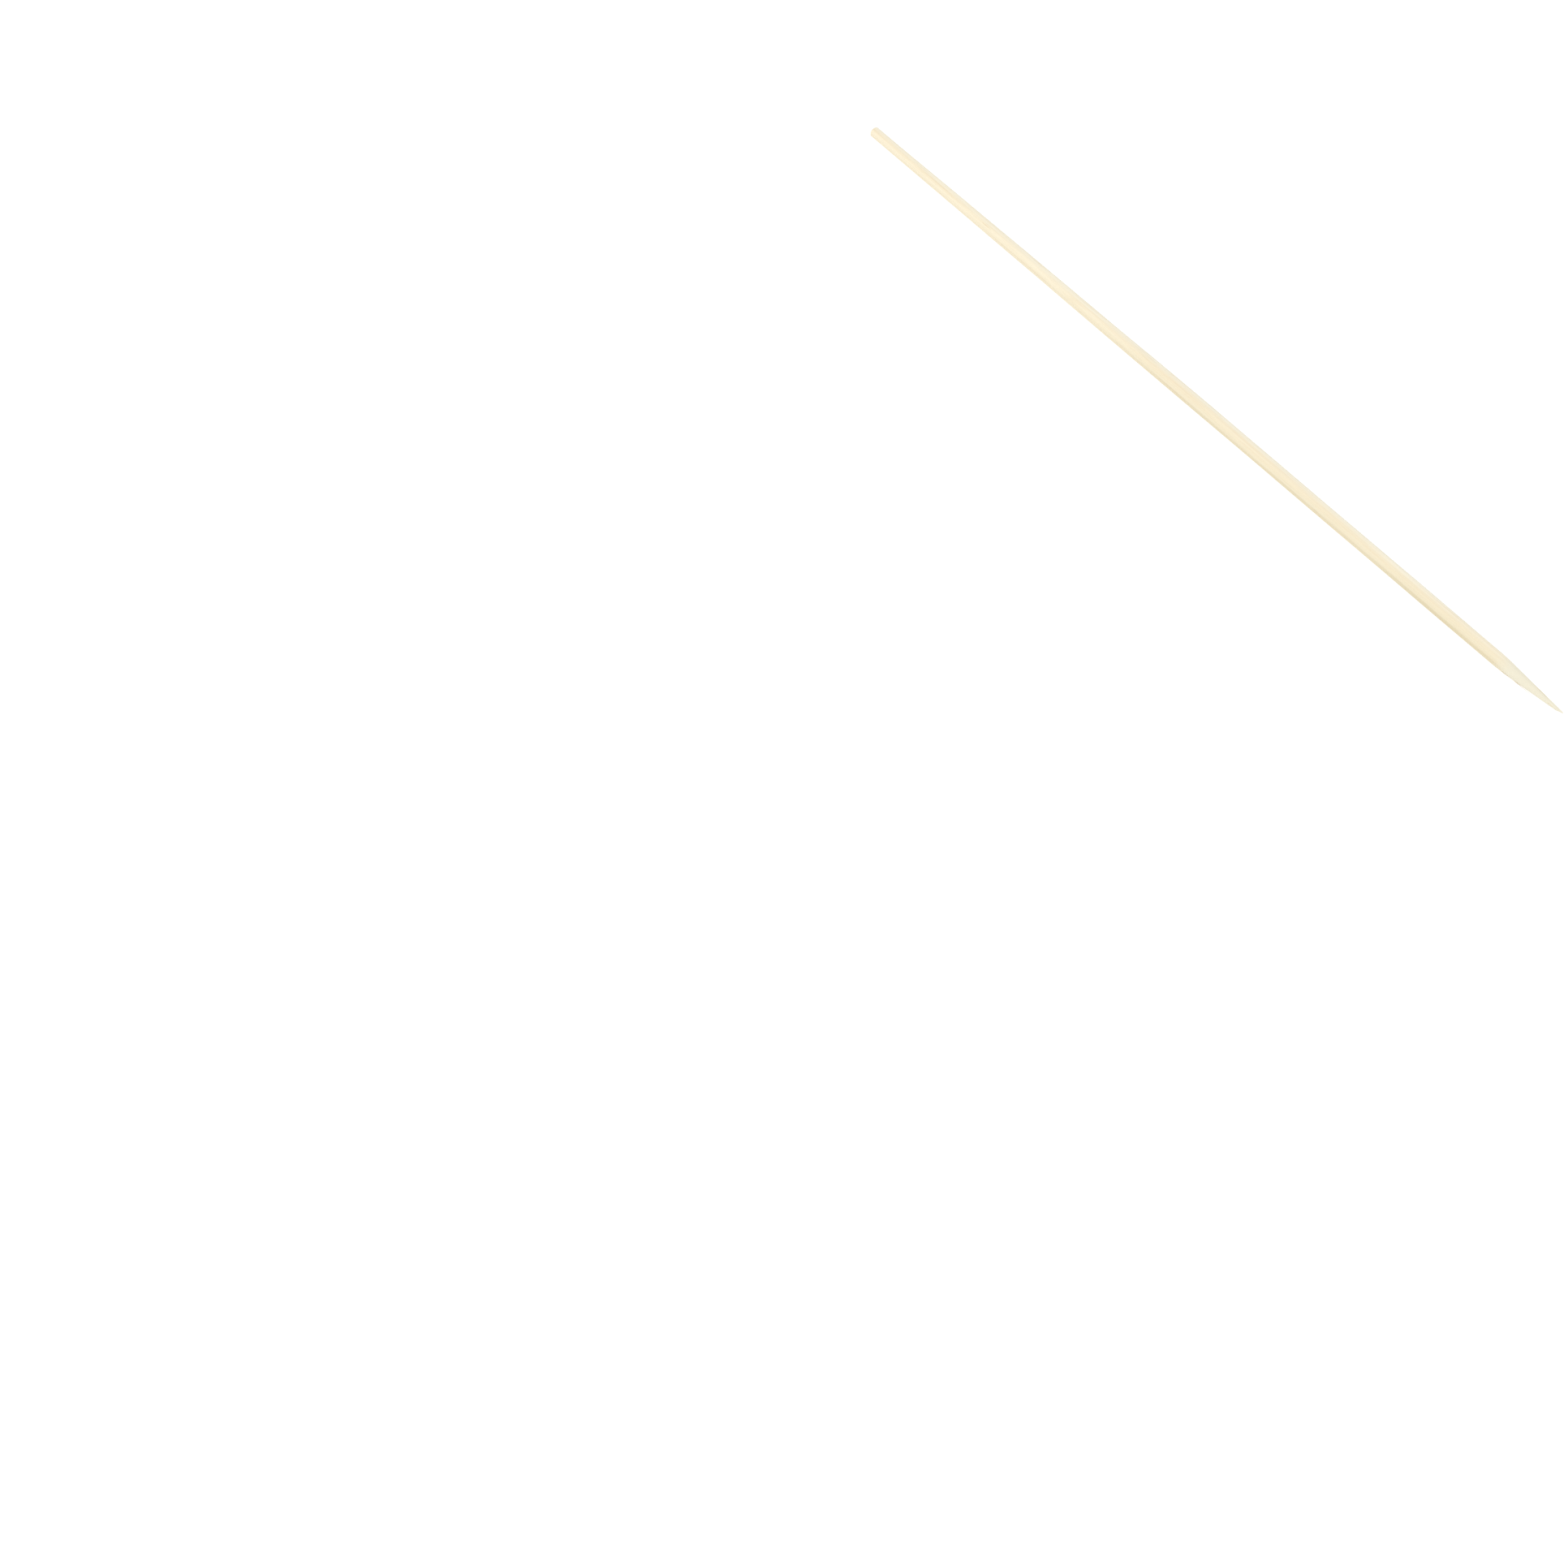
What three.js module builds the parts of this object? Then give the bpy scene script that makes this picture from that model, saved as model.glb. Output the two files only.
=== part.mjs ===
// A bamboo skewer: one slim stick of bamboo that lies on its side on the plane z = 0. Its butt is cut
// square and tumbled smooth, it swells a little towards its middle, and its far end is ground to a
// long point. Millimetres. +X runs from the butt to the point, and +Z is up.
import * as THREE from 'three';

// The stick from end to end, and its full thickness.
const LENGTH = 200;
const SHAFT_DIAMETER = 3.0;

// The butt: its thickness, its tumbled edge, and how far from it the stick has its full thickness.
const BUTT_DIAMETER = 2.25;
const BUTT_EDGE = 0.4;
const SWELL_LENGTH = 90;

// The point: a long cone behind a soft shoulder, with a blunt tip that is broken off at a slant.
const POINT_LENGTH = 16.8;
const SHOULDER_LENGTH = 4;
const TIP_DIAMETER = 0.65;
const TIP_EDGE = 0.12;
const TIP_SLANT = 1.8;

// Bamboo springs a little when it is split, so the stick bows sideways, towards +Y.
const BOW = 0.1;

// The stick is milled round from a square strip that is hardly thicker than itself. So a narrow flat
// is left of each side of the strip, and the stick lies on one of the four.
const FLATS = 4;
const FLAT_WIDTH = 1.0;

// How finely the rounds and the long stretches are divided. An arc gets two steps for each one here.
const ROUND_STEPS = 3;
const SWELL_STEPS = 2;
const SHAFT_STEPS = 2;
const POINT_STEPS = 6;
const CURVE_STEPS = 3;

const SHAFT_RADIUS = SHAFT_DIAMETER / 2;
const BUTT_RADIUS = BUTT_DIAMETER / 2;
const TIP_RADIUS = TIP_DIAMETER / 2;
const SHOULDER = LENGTH - POINT_LENGTH;
const HALF_FLAT = Math.asin(FLAT_WIDTH / SHAFT_DIAMETER);

// The stick's section at a radius of 1: rounds between flats that are chords of the circle. A flat has
// a point in its middle too, which moves out where the stick is ground round.
function section() {
  const turn = (2 * Math.PI) / FLATS;
  const depth = Math.cos(HALF_FLAT);
  const shape = new THREE.Shape();
  for (let flat = 1; flat <= FLATS; flat += 1) {
    shape.absarc(0, 0, 1, (flat - 1) * turn + HALF_FLAT, flat * turn - HALF_FLAT, false);
    shape.lineTo(depth * Math.cos(flat * turn), depth * Math.sin(flat * turn));
  }
  return shape;
}

// Carries a straight line on to a radius and a distance from the butt, in equal steps.
function runTo(path, radius, distance, steps) {
  const from = path.currentPoint.clone();
  const to = new THREE.Vector2(radius, distance);
  for (let step = 1; step <= steps; step += 1) {
    const next = from.clone().lerp(to, step / steps);
    path.lineTo(next.x, next.y);
  }
}

// The rings of the stick from butt to tip. Each is a point: its radius and its distance from the butt.
function rings() {
  const slope = (SHAFT_RADIUS - TIP_RADIUS) / POINT_LENGTH;
  const soft = SHOULDER_LENGTH / 2;
  const path = new THREE.Path();
  path.absarc(BUTT_RADIUS - BUTT_EDGE, BUTT_EDGE, BUTT_EDGE, -Math.PI / 2, 0, false);
  runTo(path, SHAFT_RADIUS, SWELL_LENGTH, SWELL_STEPS);
  runTo(path, SHAFT_RADIUS, SHOULDER - soft, SHAFT_STEPS);
  path.quadraticCurveTo(SHAFT_RADIUS, SHOULDER, SHAFT_RADIUS - slope * soft, SHOULDER + soft);
  runTo(path, TIP_RADIUS, LENGTH - TIP_EDGE, POINT_STEPS);
  path.quadraticCurveTo(TIP_RADIUS, LENGTH, TIP_RADIUS - TIP_EDGE, LENGTH);
  return path.getPoints(CURVE_STEPS);
}

// The factor that takes a place of the section to its ring. The point is ground round on a turning
// stick, so a flat runs out on it where the cone is thinner than the flat is deep.
function grow(across, up, ring) {
  const share = Math.hypot(across, up);
  const milled = ring.y > SHOULDER - SHOULDER_LENGTH / 2 ? SHAFT_RADIUS : ring.x;
  return Math.min(milled, ring.x / share);
}

// Pulls the -Y side of the point back, more and more towards its end, so that the tip is slanted.
function slant(place, radius) {
  const back = (1 - place.y / radius) / 2;
  const share = THREE.MathUtils.clamp((place.x - SHOULDER) / POINT_LENGTH, 0, 1);
  place.x -= TIP_SLANT * back * share ** 2;
}

// Lowers the slimmer half on to the surface, so that the underside is straight from butt to shoulder.
function sag(place) {
  const drop = (SHAFT_RADIUS - BUTT_RADIUS) * Math.cos(HALF_FLAT);
  const share = (SWELL_LENGTH - place.x) / (SWELL_LENGTH - BUTT_EDGE);
  place.z -= drop * THREE.MathUtils.clamp(share, 0, 1);
}

// Moves a place sideways with the bow, a parabola that is highest in the middle of the stick.
function bend(place) {
  const share = place.x / LENGTH;
  place.y += BOW * 4 * share * (1 - share);
}

// The bamboo stick: its section carried from ring to ring, with the slant, the sag and the bow.
function skewer() {
  const stations = rings();
  const steps = stations.length - 1;
  const geometry = new THREE.ExtrudeGeometry(section(), {
    depth: steps,
    steps,
    bevelEnabled: false,
    curveSegments: ROUND_STEPS,
  });
  const position = geometry.getAttribute('position');
  const place = new THREE.Vector3();
  for (let index = 0; index < position.count; index += 1) {
    const ring = stations[Math.round(position.getZ(index))];
    const across = position.getX(index);
    const up = position.getY(index);
    const factor = grow(across, up, ring);
    place.set(ring.y, across * factor, up * factor);
    slant(place, ring.x);
    sag(place);
    bend(place);
    position.setXYZ(index, place.x, place.y, place.z);
  }
  geometry.computeVertexNormals();
  const bamboo = new THREE.MeshStandardMaterial({ color: 0xf3e3bf, roughness: 0.55, metalness: 0 });
  const mesh = new THREE.Mesh(geometry, bamboo);
  mesh.name = 'skewer';
  return mesh;
}

// Sets a mesh down on z = 0 with the middle of its box over the origin.
function setDown(mesh) {
  mesh.geometry.computeBoundingBox();
  const box = mesh.geometry.boundingBox;
  const middle = box.getCenter(new THREE.Vector3());
  mesh.position.set(-middle.x, -middle.y, -box.min.z);
}

const group = new THREE.Group();
const stick = skewer();
setDown(stick);
group.add(stick);

export default group;
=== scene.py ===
# %% [markdown]
# # A bamboo skewer
#
# The object is one slim stick of bamboo that lies on a pale table. It is split from the culm, milled
# nearly round, tumbled smooth and ground to a point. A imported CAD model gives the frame: the stick
# lies along X with its butt at -X, and it rests on the plane z = 0. That solid is plain and faceted,
# so here it is hidden, and one finely surfaced piece stands for it in the same place.

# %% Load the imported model
import math

import bpy
import numpy as np
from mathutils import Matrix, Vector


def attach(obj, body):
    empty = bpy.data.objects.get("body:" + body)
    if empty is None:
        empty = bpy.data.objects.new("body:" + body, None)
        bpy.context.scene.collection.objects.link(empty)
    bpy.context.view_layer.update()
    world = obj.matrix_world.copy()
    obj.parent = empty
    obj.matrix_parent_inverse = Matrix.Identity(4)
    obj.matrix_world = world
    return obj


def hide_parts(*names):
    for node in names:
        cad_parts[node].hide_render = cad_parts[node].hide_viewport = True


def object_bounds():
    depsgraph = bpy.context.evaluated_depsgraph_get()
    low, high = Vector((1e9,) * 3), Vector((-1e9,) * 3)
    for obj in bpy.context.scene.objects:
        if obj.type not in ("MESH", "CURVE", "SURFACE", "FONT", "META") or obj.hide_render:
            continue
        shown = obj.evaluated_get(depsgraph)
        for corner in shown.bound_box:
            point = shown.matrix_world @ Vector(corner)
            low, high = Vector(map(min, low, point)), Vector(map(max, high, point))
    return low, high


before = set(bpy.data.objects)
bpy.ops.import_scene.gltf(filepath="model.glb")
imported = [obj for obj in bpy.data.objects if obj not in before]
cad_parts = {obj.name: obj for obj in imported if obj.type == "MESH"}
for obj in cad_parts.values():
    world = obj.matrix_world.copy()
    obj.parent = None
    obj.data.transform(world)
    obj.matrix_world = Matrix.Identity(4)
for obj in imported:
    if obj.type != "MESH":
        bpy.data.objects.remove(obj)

cad_low, cad_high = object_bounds()
print("box of the packed model:", tuple(cad_low), tuple(cad_high))

# %% [markdown]
# ## The sizes
#
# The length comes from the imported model. The other sizes are those of its source, in millimetres.
# Everything below is worked out in millimetres and turned to metres once, when a mesh is made.

# %% Sizes in millimetres
MM = 0.001
LENGTH = (cad_high.x - cad_low.x) / MM
SHAFT_RADIUS = 1.5
BUTT_RADIUS = 1.125
BUTT_EDGE = 0.4
SWELL_LENGTH = 90.0
POINT_LENGTH = 16.8
SHOULDER_LENGTH = 4.0
TIP_RADIUS = 0.325
TIP_EDGE = 0.12
TIP_SLANT = 1.8
BOW = 0.1
FLATS = 4
FLAT_WIDTH = 1.0

SHOULDER = LENGTH - POINT_LENGTH
HALF_FLAT = math.asin(FLAT_WIDTH / (2 * SHAFT_RADIUS))
print("length", round(LENGTH, 2), "mm, shoulder at", round(SHOULDER, 2), "mm")

# %% [markdown]
# ## Where the rings of the mesh lie
#
# The stick is a profile carried along a path, so its mesh is a row of rings. A turned outline could
# be drawn by hand and spun, but then every ring would be a true circle. A formula for each ring lets
# the flats, the fibres and the ground point change the section on the way.
#
# The rings stand close together where the form turns, at the butt's edge and at the point, and
# further apart on the long shaft. The first rings close the butt's face and the last ones the tip.

# %% Distance and cover of each ring
FACE_RINGS = 9
EDGE_RINGS = 9
SHAFT_RINGS = 330
POINT_RINGS = 84
TIP_RINGS = 5
MOST_COVER = 0.98


def ring_path():
    """Gives each ring its distance from the butt and its cover, the share that it has of its radius.

    On the two faces the distance stays the same and the cover grows from the middle in equal steps.
    On the butt's edge the distance follows a quarter circle, and elsewhere it takes equal steps.
    """
    face = np.linspace(0, 1, FACE_RINGS + 1)[1:]
    turn = np.linspace(0, np.pi / 2, EDGE_RINGS + 1)[1:]
    edge = BUTT_EDGE * (1 - np.cos(turn))
    shaft = np.linspace(BUTT_EDGE, SHOULDER - SHOULDER_LENGTH / 2, SHAFT_RINGS + 1)[1:]
    point = np.linspace(SHOULDER - SHOULDER_LENGTH / 2, LENGTH, POINT_RINGS + 1)[1:]
    tip = np.linspace(MOST_COVER, 0, TIP_RINGS, endpoint=False)
    distance = np.concatenate([np.zeros(FACE_RINGS), edge, shaft, point, np.full(TIP_RINGS, LENGTH)])
    cover = np.concatenate([face, np.ones(EDGE_RINGS + SHAFT_RINGS + POINT_RINGS), tip])
    return distance[:, None], cover[:, None]


distance, cover = ring_path()
print("rings:", len(distance))

# %% [markdown]
# ## Slow waves
#
# Milled bamboo is never quite even: its thickness, its flats and its centre line wander by a few
# hundredths of a millimetre. A sum of three sine waves with seeded random phases does that, and it
# gives the same stick at each run. Each use draws its own phases.

# %% A wave along the stick
WAVE_PARTS = np.array([1.0, 1.7, 2.9])

chance = np.random.default_rng(20)


def wave(length):
    """Adds three sines of the distance: one of this length in mm, and two that are 1.7 and 2.9 times as fast.

    The fast ones are weaker in the same ratio, and the sum stays between -1 and 1.
    """
    phase = chance.uniform(0, 2 * np.pi, WAVE_PARTS.size)
    parts = np.sin(2 * np.pi * distance * WAVE_PARTS / length + phase) / WAVE_PARTS
    return parts.sum(axis=1, keepdims=True) / (1 / WAVE_PARTS).sum()


sample = wave(60)
print("a wave runs from", sample.min().round(2), "to", sample.max().round(2))

# %% [markdown]
# ## The stick before it is ground
#
# The strip that a stick is milled from is hardly thicker than the stick, so a narrow flat is left of
# each of its four sides. A section is therefore a circle with four chords. The corner between a
# chord and the round is worn soft by the tumbling, so the two are joined by a soft minimum instead
# of a hard one. The flat below keeps its width, because the stick lies on it.

# %% The milled section
AROUND = 192
SOFTNESS = 70
THICKNESS_WAVE = 0.012
THICKNESS_WAVE_LENGTH = 58
FLAT_WAVE = 0.22
FLAT_WAVE_LENGTH = 75
FLAT_BELOW = 3
LEAST_FACING = 0.05

angle = np.linspace(0, 2 * np.pi, AROUND, endpoint=False)[None, :]


def soft_minimum(first, second, sharpness):
    """The smaller of two arrays with a rounded crossing: minus the log of a sum of falling powers of e."""
    return -np.log(np.exp(-sharpness * first) + np.exp(-sharpness * second)) / sharpness


def body_radius():
    """Grows in a straight line from the butt to the full thickness, and varies by a slow wave."""
    grown = np.clip((distance - BUTT_EDGE) / (SWELL_LENGTH - BUTT_EDGE), 0, 1)
    even = BUTT_RADIUS + (SHAFT_RADIUS - BUTT_RADIUS) * grown
    return even * (1 + THICKNESS_WAVE * wave(THICKNESS_WAVE_LENGTH))


def chord(normal, half_width):
    """How far out a flat lies at each angle: cos(half width) over cos(angle from the flat's normal)."""
    facing = np.maximum(np.cos(angle - normal), LEAST_FACING)
    return np.cos(half_width) / facing


def milled_section():
    """The section at a radius of 1: the soft minimum of a circle and the chords."""
    share = np.ones((len(distance), AROUND))
    for flat in range(FLATS):
        vary = 0 if flat == FLAT_BELOW else FLAT_WAVE * wave(FLAT_WAVE_LENGTH)
        flat_side = chord(flat * 2 * np.pi / FLATS, HALF_FLAT * (1 + vary))
        share = soft_minimum(share, flat_side, SOFTNESS)
    return share


body = body_radius()
milled = body * milled_section()
print("milled radius from", milled.min().round(3), "to", milled.max().round(3), "mm")

# %% [markdown]
# ## The ground point and the butt's edge
#
# The point is ground on a turning stick, so it is a cone with a round section, and it cuts the flats
# off in curved tongues. A soft minimum of the milled form and the cone gives both the tongues and
# the soft shoulder. The butt's edge is a quarter circle, and the tip has a small worn edge of its
# own. Both are written as what they take off the radius.

# %% Grind the point and round the edges
CONE_SOFTNESS = 30


def cone_radius():
    """Falls in a straight line over the length of the point, and goes on growing backwards from it."""
    slope = (SHAFT_RADIUS - TIP_RADIUS) / POINT_LENGTH
    return TIP_RADIUS + slope * (LENGTH - distance)


def butt_inset():
    """What the rounded edge takes off: the edge less its circle's height at this distance."""
    inside = np.clip(BUTT_EDGE - distance, 0, BUTT_EDGE)
    return BUTT_EDGE - np.sqrt(BUTT_EDGE ** 2 - inside ** 2)


def tip_inset():
    """What the tip's edge takes off, as a parabola of the distance into it."""
    into = np.clip(distance - (LENGTH - TIP_EDGE), 0, TIP_EDGE) / TIP_EDGE
    return TIP_EDGE * into ** 2


def point_share():
    """0 on the shaft and 1 at the tip, in a straight line along the point."""
    return np.clip((distance - SHOULDER) / POINT_LENGTH, 0, 1)


ground = soft_minimum(milled, cone_radius(), CONE_SOFTNESS)
print("ground radius at the tip", ground[-1].mean().round(3), "mm")

# %% [markdown]
# ## Fibres in the surface
#
# Bamboo is a bundle of straight fibres in softer pith, so its surface has fine lengthwise ridges.
# They could be bump alone, but then the stick's outline would be as smooth as plastic. So they are
# in the mesh, as cosines of the angle round the stick. Each one's phase and strength drift slowly
# along the stick, because no fibre runs quite true to it. Grinding leaves them a little rougher.

# %% Radius of every place on the stick
FIBRE_COUNTS = (19, 26, 37, 51, 68)
FIBRE_HEIGHT = 0.0045
FIBRE_STEADY = 0.6
FIBRE_FADE_LENGTH = 46
FIBRE_DRIFT = 1.4
FIBRE_DRIFT_LENGTH = 160
GROUND_ROUGHNESS = 1.6
GROUND_ONSET = 0.125


def fibre_relief():
    """Adds cosines of a few whole multiples of the angle, with phases and strengths that drift."""
    relief = np.zeros((len(distance), AROUND))
    for count in FIBRE_COUNTS:
        strength = FIBRE_STEADY + (1 - FIBRE_STEADY) * wave(FIBRE_FADE_LENGTH)
        drift = FIBRE_DRIFT * 2 * np.pi * wave(FIBRE_DRIFT_LENGTH)
        relief += strength * np.cos(count * angle + drift)
    return FIBRE_HEIGHT * relief


rough = 1 + (GROUND_ROUGHNESS - 1) * np.clip(point_share() / GROUND_ONSET, 0, 1)
relief = fibre_relief() * rough * ground / SHAFT_RADIUS
radius = (ground + relief - butt_inset() - tip_inset()) * cover
print("relief from", relief.min().round(3), "to", relief.max().round(3), "mm")

# %% [markdown]
# ## Setting the rings in place
#
# The thinner half lies on the table as the thick half does, so each ring's middle is as high as the
# stick is thick there: its height is the distance of the lower flat. The point keeps the height of
# the shaft. The stick bows a little sideways, and its tip is broken off at a slant with uneven
# fibre ends.

# %% Places of all the points
SIDE_WANDER = 0.035
SIDE_WANDER_LENGTH = 90
RAGGED = 0.16
RAGGED_COUNTS = (3, 7, 11)
RAGGED_ONSET = 24


def ragged_ends():
    """A few cosines of the angle between 0 and 1, which grow as a high power towards the tip."""
    teeth = sum(np.cos(count * angle + chance.uniform(0, 2 * np.pi)) for count in RAGGED_COUNTS)
    return RAGGED * (0.5 + teeth / (2 * len(RAGGED_COUNTS))) * point_share() ** RAGGED_ONSET


def stick_points():
    """x is the distance less the slant and the ragged ends, and y and z are the ring's cosine and sine.

    y is moved by a parabola for the bow and by a slow wave, and z by the height of the ring's middle.
    """
    face_radius = TIP_RADIUS - TIP_EDGE
    across = radius * np.cos(angle)
    back = (1 - across / np.maximum(radius, face_radius)) / 2
    slant = TIP_SLANT * back * point_share() ** 2
    x = distance - slant - ragged_ends() * np.minimum(1, radius / face_radius)
    share = distance / LENGTH
    y = across + BOW * 4 * share * (1 - share) + SIDE_WANDER * wave(SIDE_WANDER_LENGTH)
    z = radius * np.sin(angle) + body * math.cos(HALF_FLAT)
    points = np.stack([x, y, z], axis=-1)
    low, high = points.min(axis=(0, 1)), points.max(axis=(0, 1))
    return points - [(low[0] + high[0]) / 2, (low[1] + high[1]) / 2, low[2]]


points = stick_points()
print("box of the points:", points.min(axis=(0, 1)).round(3), points.max(axis=(0, 1)).round(3))

# %% [markdown]
# ## From the grid to a mesh
#
# Neighbours on the grid are joined by four-sided faces, and the last angle is joined to the first,
# so there is no seam. One point in the middle closes each end. A face's corners are listed so that
# its normal points out. A piece can be made of several such grids.

# %% Make the stick's mesh


def closed_mesh(name, grids):
    """Joins each grid's rings round and round, and closes its first and last ring with a fan."""
    places, faces, used = [], [], 0
    for grid in grids:
        rings, around = grid.shape[:2]
        ids = used + np.arange(rings * around).reshape(rings, around)
        nearer, further = ids[:-1], ids[1:]
        quads = np.stack([nearer, np.roll(nearer, -1, 1), np.roll(further, -1, 1), further], -1)
        used += ids.size + 2
        start, end = np.full(around, used - 2), np.full(around, used - 1)
        faces += quads.reshape(-1, 4).tolist()
        faces += np.stack([start, np.roll(ids[0], -1), ids[0]], -1).tolist()
        faces += np.stack([end, ids[-1], np.roll(ids[-1], -1)], -1).tolist()
        places += [grid.reshape(-1, 3), grid[0].mean(axis=0)[None], grid[-1].mean(axis=0)[None]]
    mesh = bpy.data.meshes.new(name)
    mesh.from_pydata((np.concatenate(places) * MM).tolist(), [], faces)
    mesh.polygons.foreach_set("use_smooth", np.ones(len(mesh.polygons), dtype=bool))
    mesh.validate()
    made = bpy.data.objects.new(name, mesh)
    bpy.context.scene.collection.objects.link(made)
    return made


stick = closed_mesh("bamboo_stick", [points])
print("stick:", len(stick.data.vertices), "points,", len(stick.data.polygons), "faces")

# %% [markdown]
# ## Loose fibres
#
# Milling and grinding tear some fibres instead of cutting them. They stay rooted in the stick and
# stand off it a little: two long slivers along the low side of the point, a few short ones near the
# tip, and some fuzz on the shaft. Hair particles would lie anywhere and be as many as grass. Here
# each fibre is a thin grid of its own, which takes its path from the stick's own surface, so it
# follows the form and starts inside it.

# %% Lift a few fibres off the surface
LOOSE_RINGS = 18
LOOSE_SIDES = 8
LOOSE_ROOT = 0.07
LOOSE_THINNESS = 0.4
LOOSE_TIP = 0.12


def along_stick(line, wanted):
    """Reads a line of places, one for each ring with full cover, at the wanted distances."""
    known = distance[cover == 1]
    return np.stack([np.interp(wanted, known, line[:, axis]) for axis in range(3)], axis=-1)


def loose_fibre(start, length, side, width, lift):
    """Rises from under the skin to its lift by a quarter of a sine, and its width falls evenly.

    It starts at a distance from the butt in mm, on the side at an angle in degrees. Its section is a
    flat ellipse, which stands on the way out of the stick and on the cross product with its path.
    """
    share = np.linspace(0, 1, LOOSE_RINGS)[:, None]
    wanted = start + length * share[:, 0]
    whole = points[cover[:, 0] == 1]
    skin = along_stick(whole[:, round(side / 360 * AROUND) % AROUND], wanted)
    out = (skin - along_stick(whole.mean(axis=1), wanted)) * (0, 1, 1)
    out /= np.linalg.norm(out, axis=1, keepdims=True)
    path = skin + out * (lift * np.sin(share * np.pi / 2) - LOOSE_ROOT)
    along = np.gradient(path, axis=0)
    across = np.cross(along / np.linalg.norm(along, axis=1, keepdims=True), out)
    turn = np.linspace(0, 2 * np.pi, LOOSE_SIDES, endpoint=False)[:, None]
    half = (width / 2 * (1 - share * (1 - LOOSE_TIP)))[:, None]
    ring = LOOSE_THINNESS * np.cos(turn) * out[:, None] + np.sin(turn) * across[:, None]
    return path[:, None] + half * ring


fibres = closed_mesh("loose_fibres", [
    loose_fibre(start=183.4, length=6.4, side=197, width=0.20, lift=0.24),
    loose_fibre(start=187.4, length=7.2, side=208, width=0.28, lift=0.36),
    loose_fibre(start=190.6, length=5.4, side=58, width=0.15, lift=0.12),
    loose_fibre(start=193.8, length=4.2, side=302, width=0.12, lift=0.14),
    loose_fibre(start=196.2, length=2.8, side=140, width=0.10, lift=0.11),
    loose_fibre(start=33.5, length=3.4, side=118, width=0.08, lift=0.14),
    loose_fibre(start=88.0, length=2.6, side=64, width=0.07, lift=0.11),
    loose_fibre(start=131.0, length=3.8, side=163, width=0.08, lift=0.13),
    loose_fibre(start=170.5, length=2.9, side=24, width=0.07, lift=0.12),
])
print("loose fibres:", len(fibres.data.polygons), "faces")

# %% [markdown]
# ## Two helpers for materials
#
# Colours are easiest to read as sRGB hex values, but a shader works with linear light, so one
# function turns them. A second one adds a node, sets its fields, and fills or links its inputs.

# %% Colour and node helpers


def linear(hex_code):
    """Turns a colour such as F1E2BF to linear red, green, blue and full opacity."""
    channels = [int(hex_code[place:place + 2], 16) / 255 for place in (0, 2, 4)]
    light = [c / 12.92 if c <= 0.04045 else ((c + 0.055) / 1.055) ** 2.4 for c in channels]
    return (*light, 1.0)


def node(tree, kind, inputs, **settings):
    """Adds a shader node. An input is a value or the output socket that it is linked to."""
    made = tree.nodes.new("ShaderNode" + kind)
    for name, value in settings.items():
        setattr(made, name, value)
    for key, value in inputs.items():
        if isinstance(value, bpy.types.NodeSocket):
            tree.links.new(value, made.inputs[key])
        else:
            made.inputs[key].default_value = value
    return made


print("mid grey in linear light:", [round(channel, 3) for channel in linear("808080")])

# %% [markdown]
# ## What bare bamboo looks like
#
# Bamboo is pith with bundles of long fibres in it. The bundles are about 0.3 mm apart, and they lie
# closer and are darker towards the outer skin of the culm, so one side of a stick is a little deeper
# in tone than the other. On the sides they show as fine lengthwise streaks, and on the cut butt as
# dots. A wood image could be wrapped round the stick, but a pattern in space that is stretched along
# X gives the streaks and the dots at once, and it is right on the ground point too.
#
# Each pattern reads the place on the stick in millimetres. Its width is what it measures across the
# stick, and its stretch is how many times slower it changes along it.

# %% Colours and patterns of bamboo
PALE = linear("EBE1C8")
DEEP = linear("E0CEAB")
# Deeper tone of the culm's skin side, also used as painted shade on the near flank.
SKIN_SIDE_AND_SHADE_TONE = linear("D2C9AB")
# Painted shade: a greyer tone for the far flank.
FAR_SHADE_TONE = linear("E1E0D4")
# Painted shade: a darker tone on the flat of the near side.
FLAT_SHADE_TONE = linear("C3B78E")
BUNDLE = linear("C8AA77")
GROUND = linear("DAD6C3")

BUNDLE_SPACING = 0.3
BUNDLE_STRETCH = 250
NOISE_ROUGHNESS = 0.55
NOISES = {
    "bands": {"width": 1.6, "stretch": 125, "detail": 1.0},
    "mottle": {"width": 30, "stretch": 2, "detail": 2.0},
    "streaks": {"width": 0.14, "stretch": 170, "detail": 3.0},
    "fibres": {"width": 0.06, "stretch": 250, "detail": 2.0},
    "grit": {"width": 0.12, "stretch": 1, "detail": 2.0},
}


def stretched_place(tree, where, width, stretch):
    """Counts the place in widths across the stick, and in widths times the stretch along it."""
    per_width = 1 / (width * MM)
    scale = (per_width / stretch, per_width, per_width)
    return node(tree, "VectorMath", {0: where, 1: scale}, operation="MULTIPLY").outputs[0]


def bamboo_patterns(tree, where, wanted):
    """Gives the wanted noises by name, each at its own width and stretch."""
    patterns = {}
    for name in wanted:
        noise = NOISES[name]
        place = stretched_place(tree, where, noise["width"], noise["stretch"])
        inputs = {"Vector": place, "Scale": 1.0, "Detail": noise["detail"], "Roughness": NOISE_ROUGHNESS}
        patterns[name] = node(tree, "TexNoise", inputs).outputs[0]
    return patterns


def bundle_pattern(tree, where):
    """Gives the distance to the nearest of many scattered points, each the middle of a bundle."""
    place = stretched_place(tree, where, BUNDLE_SPACING, BUNDLE_STRETCH)
    return node(tree, "TexVoronoi", {"Vector": place, "Scale": 1.0}).outputs["Distance"]


print("patterns:", ", ".join(NOISES), "and bundles")
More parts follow.
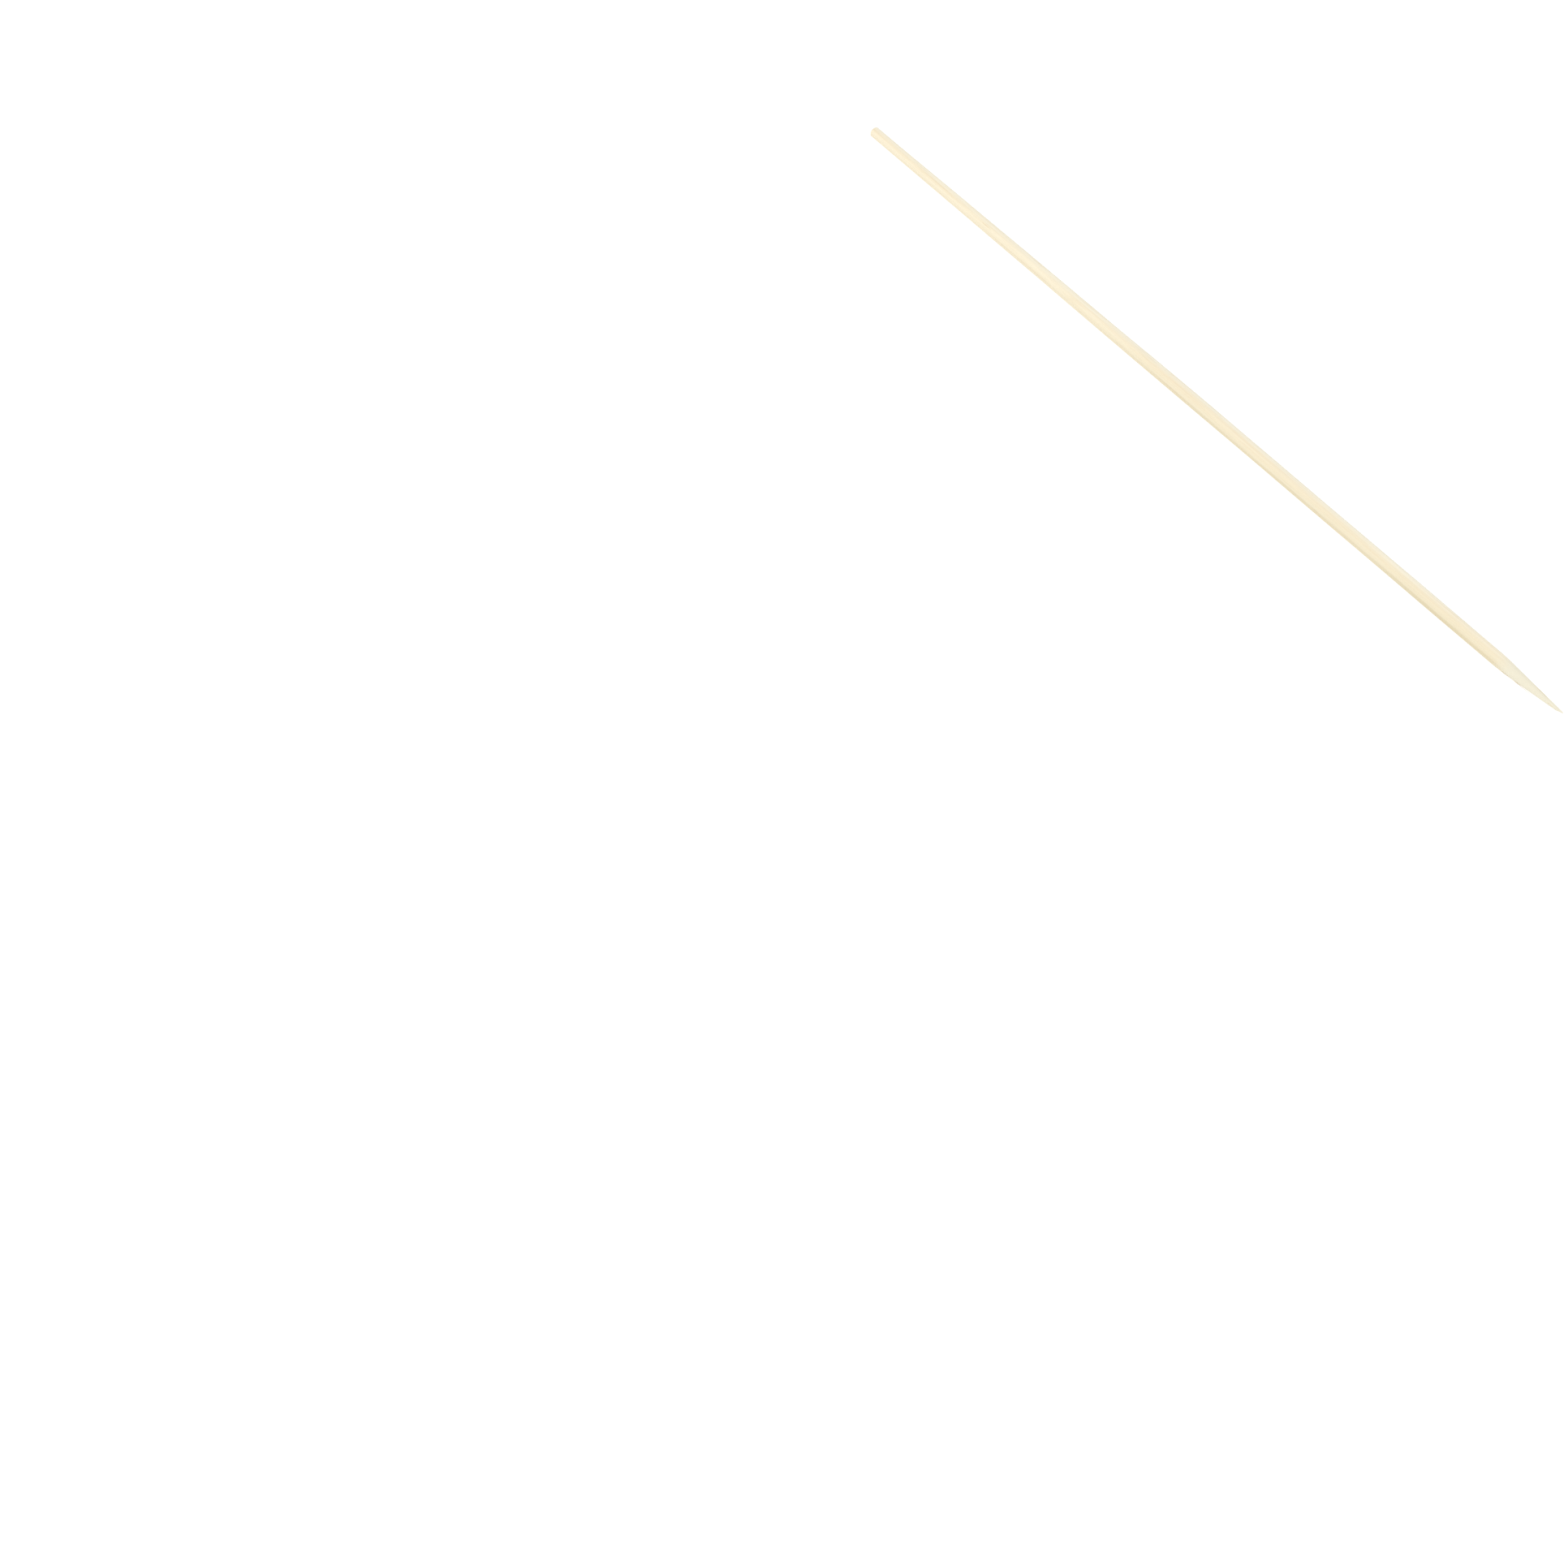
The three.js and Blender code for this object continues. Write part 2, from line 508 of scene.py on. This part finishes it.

# %% [markdown]
# ## Where the stick differs
#
# Five ramps of the place tell the finishes apart. One crosses the stick towards the near side, the side that
# lay nearest to the culm's skin. It gives that side's deeper tone and also painted shade on the near flank. A
# strip is never split quite true to the culm, so that side, with its painted shade, starts narrow at the butt
# and is broad at the point. A second marks the flat of that side, which is painted darker as shade. A third
# crosses the stick the other way, to the far flank, which is painted greyer as shade. The others mark the
# butt's cut face and the ground point. Each ramp is a direction, of which the dot product with the place is
# taken.

# %% Ramps across the stick and at its ends
# Ramp of the deeper skin side, which also lays painted shade on the near flank.
SKIN_AND_SHADE_FROM = 0.3
SKIN_AND_SHADE_TO = 2.3
SKIN_AND_SHADE_DRIFT = 0.005
# Ramp of the painted shade on the flat of the near side.
FLAT_SHADE_FROM = 1.33
FLAT_SHADE_TO = 1.42
# Ramp of the painted shade on the far flank.
FAR_SHADE_FROM = -0.6
FAR_SHADE_TO = 1.2
BUTT_FACE_FROM = 0.2
BUTT_FACE_TO = 0.05
GROUND_BEFORE = 1.0
GROUND_AFTER = 3.0


def bamboo_places(tree, where):
    """Gives ramps from 0 to 1, each along a direction between two distances in mm."""
    butt_end, shoulder = -LENGTH / 2, SHOULDER - LENGTH / 2
    ramps = {
        # The first three ramps place painted shade: on the near flank with the skin side's tone, on that
        # side's flat, and on the far flank.
        "skin_and_shade_side": ((SKIN_AND_SHADE_DRIFT, -1, 0), SKIN_AND_SHADE_FROM, SKIN_AND_SHADE_TO),
        "painted_flat_shade": ((0, -1, 0), FLAT_SHADE_FROM, FLAT_SHADE_TO),
        "painted_far_shade": ((0, 1, 0), FAR_SHADE_FROM, FAR_SHADE_TO),
        "on_butt": ((1, 0, 0), butt_end + BUTT_FACE_FROM, butt_end + BUTT_FACE_TO),
        "on_point": ((1, 0, 0), shoulder - GROUND_BEFORE, shoulder + GROUND_AFTER),
    }
    places = {}
    for name, (direction, start, end) in ramps.items():
        along = node(tree, "VectorMath", {0: where, 1: direction}, operation="DOT_PRODUCT").outputs["Value"]
        inputs = {"Value": along, "From Min": start * MM, "From Max": end * MM}
        places[name] = node(tree, "MapRange", inputs).outputs["Result"]
    return places


print("the ground finish starts", GROUND_BEFORE, "mm before the shoulder")

# %% [markdown]
# ## The colour of bamboo
#
# The colour is built up in thin layers over the pale pith. The broad ones come first: soft bands, the deeper
# skin side with painted shade on the near flank, painted shade on that side's flat, and painted grey shade on
# the far flank. The fine ones follow: streaks, bundles and single fibres. The ground point is greyer, because
# its cut fibres scatter more light, and a slow mottle lifts some stretches again. Bundles show fully on the
# butt's face, where they are cut across, and only faintly on the pale side.

# %% Layers of colour
BUNDLE_OUTSIDE = 0.30
BUNDLE_INSIDE = 0.12
BUNDLES_ON_PALE_SIDE = 0.12
BUNDLES_ON_SKIN_SIDE = 0.5


def bundle_share(tree, bundles, places):
    """How strong a bundle is: 1 near its middle and 0 outside, times the most that its side allows."""
    dot = {"Value": bundles, "From Min": BUNDLE_OUTSIDE, "From Max": BUNDLE_INSIDE}
    inside = node(tree, "MapRange", dot).outputs[0]
    side = {"Value": places["skin_and_shade_side"], "To Min": BUNDLES_ON_PALE_SIDE, "To Max": BUNDLES_ON_SKIN_SIDE}
    allowed = {0: node(tree, "MapRange", side).outputs[0], 1: places["on_butt"]}
    most = node(tree, "Math", allowed, operation="MAXIMUM").outputs[0]
    return node(tree, "Math", {0: inside, 1: most}, operation="MULTIPLY").outputs[0]


def bamboo_colour(tree, patterns, bundles, places):
    """Lays each colour over the last. Its share grows from 0 to its most between two values of a pattern."""
    layers = (
        (patterns["bands"], 0.35, 0.65, 0.85, DEEP),
        # The next three layers are the skin side's tone with painted shade on the near flank, then painted
        # shade on its flat and on the far flank.
        (places["skin_and_shade_side"], 0.0, 1.0, 0.8, SKIN_SIDE_AND_SHADE_TONE),
        (places["painted_flat_shade"], 0.0, 1.0, 0.5, FLAT_SHADE_TONE),
        (places["painted_far_shade"], 0.0, 1.0, 0.75, FAR_SHADE_TONE),
        (patterns["streaks"], 0.45, 0.75, 0.5, DEEP),
        (bundle_share(tree, bundles, places), 0.0, 1.0, 1.0, BUNDLE),
        (patterns["fibres"], 0.56, 0.70, 0.45, BUNDLE),
        (places["on_point"], 0.0, 1.0, 0.9, GROUND),
        (patterns["mottle"], 0.3, 0.7, 0.25, PALE),
    )
    tone = PALE
    for value, low, high, most, colour in layers:
        share = node(tree, "MapRange", {"Value": value, "From Min": low, "From Max": high, "To Max": most})
        tone = node(tree, "Mix", {0: share.outputs[0], 6: tone, 7: colour}, data_type="RGBA").outputs[2]
    return tone


print("pale pith in linear light:", [round(channel, 3) for channel in PALE[:3]])

# %% [markdown]
# ## Bare bamboo, milled, tumbled and ground
#
# There is no varnish on it, so it has a soft, low sheen, a little stronger between the streaks. The
# ground point is duller. The bump follows the streaks on the shaft, and on the point it is half
# made of the abrasive's grit.

# %% Make the bamboo material
BAMBOO_IOR = 1.5
STREAKS_LOW = 0.3
STREAKS_HIGH = 0.7
ROUGHNESS_LOW = 0.46
ROUGHNESS_HIGH = 0.6
POINT_DULLER = 0.15
POINT_GRIT = 0.5
BUMP_DEPTH = 0.03
BUMP_STRENGTH = 0.6


def bamboo_material():
    """Puts the layers of colour, a roughness that follows the streaks, and the bump on one shader."""
    made = bpy.data.materials.new("bare_bamboo")
    made.use_nodes = True
    tree = made.node_tree
    shader = tree.nodes["Principled BSDF"]
    shader.inputs["Metallic"].default_value = 0.0
    shader.inputs["IOR"].default_value = BAMBOO_IOR
    where = node(tree, "TexCoord", {}).outputs["Object"]
    patterns = bamboo_patterns(tree, where, NOISES)
    places = bamboo_places(tree, where)
    colour = bamboo_colour(tree, patterns, bundle_pattern(tree, where), places)
    tree.links.new(colour, shader.inputs["Base Color"])

    streaks = {"Value": patterns["streaks"], "From Min": STREAKS_LOW, "From Max": STREAKS_HIGH,
               "To Min": ROUGHNESS_LOW, "To Max": ROUGHNESS_HIGH}
    worn = node(tree, "MapRange", streaks).outputs[0]
    duller = {0: places["on_point"], 1: POINT_DULLER, 2: worn}
    dull = node(tree, "Math", duller, operation="MULTIPLY_ADD").outputs[0]
    tree.links.new(dull, shader.inputs["Roughness"])

    gritty = node(tree, "Math", {0: places["on_point"], 1: POINT_GRIT}, operation="MULTIPLY").outputs[0]
    height = node(tree, "Mix", {0: gritty, 2: patterns["streaks"], 3: patterns["grit"]}).outputs[0]
    bump = {"Height": height, "Distance": BUMP_DEPTH * MM, "Strength": BUMP_STRENGTH}
    tree.links.new(node(tree, "Bump", bump).outputs["Normal"], shader.inputs["Normal"])
    return made


bamboo = bamboo_material()
stick.data.materials.append(bamboo)
print("material:", bamboo.name, "with", len(bamboo.node_tree.nodes), "nodes")

# %% [markdown]
# ## Torn fibres
#
# A loose fibre is a strand of a bundle without the pale pith around it, so it is deeper in tone than
# the stick and has a duller, woolly surface. It keeps fine streaks along its length. Only two of the
# patterns are needed for that.

# %% Make the finish of the loose fibres
TORN_ROUGHNESS = 0.7
TORN_FIBRES_LOW = 0.3
TORN_DEPTH = 0.6


def torn_fibre_material():
    """Mixes some of the bundles' tone into the deep tone, the more the higher the fine fibre noise is."""
    made = bpy.data.materials.new("torn_bamboo_fibre")
    made.use_nodes = True
    tree = made.node_tree
    shader = tree.nodes["Principled BSDF"]
    shader.inputs["Metallic"].default_value = 0.0
    shader.inputs["IOR"].default_value = BAMBOO_IOR
    shader.inputs["Roughness"].default_value = TORN_ROUGHNESS
    where = node(tree, "TexCoord", {}).outputs["Object"]
    patterns = bamboo_patterns(tree, where, ("fibres", "grit"))
    deeper = {"Value": patterns["fibres"], "From Min": TORN_FIBRES_LOW, "To Max": TORN_DEPTH}
    share = node(tree, "MapRange", deeper).outputs[0]
    tone = node(tree, "Mix", {0: share, 6: DEEP, 7: BUNDLE}, data_type="RGBA").outputs[2]
    tree.links.new(tone, shader.inputs["Base Color"])
    bump = {"Height": patterns["grit"], "Distance": BUMP_DEPTH * MM, "Strength": BUMP_STRENGTH}
    tree.links.new(node(tree, "Bump", bump).outputs["Normal"], shader.inputs["Normal"])
    return made


torn_fibre = torn_fibre_material()
fibres.data.materials.append(torn_fibre)
print("material:", torn_fibre.name, "with", len(torn_fibre.node_tree.nodes), "nodes")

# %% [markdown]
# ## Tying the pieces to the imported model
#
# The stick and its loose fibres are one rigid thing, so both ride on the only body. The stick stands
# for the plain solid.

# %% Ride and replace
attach(stick, "root")
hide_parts("skewer")
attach(fibres, "root")
print("pieces:", stick.name, "and", fibres.name)

# %% [markdown]
# ## The table and the light
#
# The stick lies on a light table in even light, as for a catalogue: a matt white sheet that is lit
# from below, so it shines by itself and shows nearly no shadow. A pale world gives soft light from
# all round. One large soft lamp stands high above the near side, where the camera is, and makes the
# top of the stick a little brighter than its flanks.

# %% Table, world and lamp
FLOOR_HALF = 4.0
FLOOR_ROUGHNESS = 0.9
FLOOR_GLOW = 0.85
WORLD_LIGHT = 0.985
LAMP_PLACE = (0.25, -0.65, 1.35)
LAMP_WIDTH = 1.2
LAMP_POWER = 6.3


def pale_floor():
    """One square face on z = 0, in matt white acrylic with a glow."""
    corners = [(-FLOOR_HALF, -FLOOR_HALF, 0), (FLOOR_HALF, -FLOOR_HALF, 0),
               (FLOOR_HALF, FLOOR_HALF, 0), (-FLOOR_HALF, FLOOR_HALF, 0)]
    mesh = bpy.data.meshes.new("floor")
    mesh.from_pydata(corners, [], [(0, 1, 2, 3)])
    made = bpy.data.objects.new("floor", mesh)
    bpy.context.scene.collection.objects.link(made)
    sheet = bpy.data.materials.new("lit_acrylic_sheet")
    sheet.use_nodes = True
    shader = sheet.node_tree.nodes["Principled BSDF"]
    shader.inputs["Base Color"].default_value = linear("8A8A8A")
    shader.inputs["Roughness"].default_value = FLOOR_ROUGHNESS
    shader.inputs["Emission Color"].default_value = linear("FFFFFF")
    shader.inputs["Emission Strength"].default_value = FLOOR_GLOW
    mesh.materials.append(sheet)
    return made


def pale_world():
    """The same soft white from every side."""
    world = bpy.data.worlds.new("studio")
    world.use_nodes = True
    background = world.node_tree.nodes["Background"]
    background.inputs["Color"].default_value = (1, 1, 1, 1)
    background.inputs["Strength"].default_value = WORLD_LIGHT
    bpy.context.scene.world = world


def soft_lamp():
    """A square area lamp that faces the origin."""
    lamp = bpy.data.lights.new("soft_lamp", "AREA")
    lamp.size = LAMP_WIDTH
    lamp.energy = LAMP_POWER
    made = bpy.data.objects.new("soft_lamp", lamp)
    made.location = LAMP_PLACE
    made.rotation_mode = "QUATERNION"
    made.rotation_quaternion = made.location.to_track_quat("Z", "Y")
    bpy.context.scene.collection.objects.link(made)


floor = pale_floor()
pale_world()
soft_lamp()
bpy.context.scene.view_settings.view_transform = "Standard"
print("floor, world and lamp are set")

# %% [markdown]
# ## The camera
#
# The photograph was taken with a long lens from above and in front of the point. It looks at a place
# beside the stick, so the stick lies in the upper right of the frame. The angles, the distance and
# the lens make the stick's two ends, its thickness and its slight narrowing fit the photograph.

# %% Camera
LOOK_AT = (0.007873, -0.124002, 0.0)
AZIMUTH = math.radians(47.682)
ELEVATION = math.radians(58.195)
RANGE = 0.96742
LENS = 113.34
NEAREST = 0.01


def photo_camera():
    """Stands at the range from the place it looks at, back along the azimuth and up by the elevation."""
    lens = bpy.data.cameras.new("photo_camera")
    lens.lens = LENS
    lens.clip_start = NEAREST
    made = bpy.data.objects.new("photo_camera", lens)
    back = np.array([math.sin(AZIMUTH) * math.cos(ELEVATION),
                     -math.cos(AZIMUTH) * math.cos(ELEVATION),
                     math.sin(ELEVATION)])
    made.location = np.array(LOOK_AT) + RANGE * back
    made.rotation_euler = (math.pi / 2 - ELEVATION, 0, AZIMUTH)
    bpy.context.scene.collection.objects.link(made)
    bpy.context.scene.camera = made


photo_camera()
print("camera at", tuple(round(v, 3) for v in bpy.context.scene.camera.location))

# %% [markdown]
# ## Finishing
#
# The last cell brings the scene up to date.

# %% Finish
bpy.context.view_layer.update()
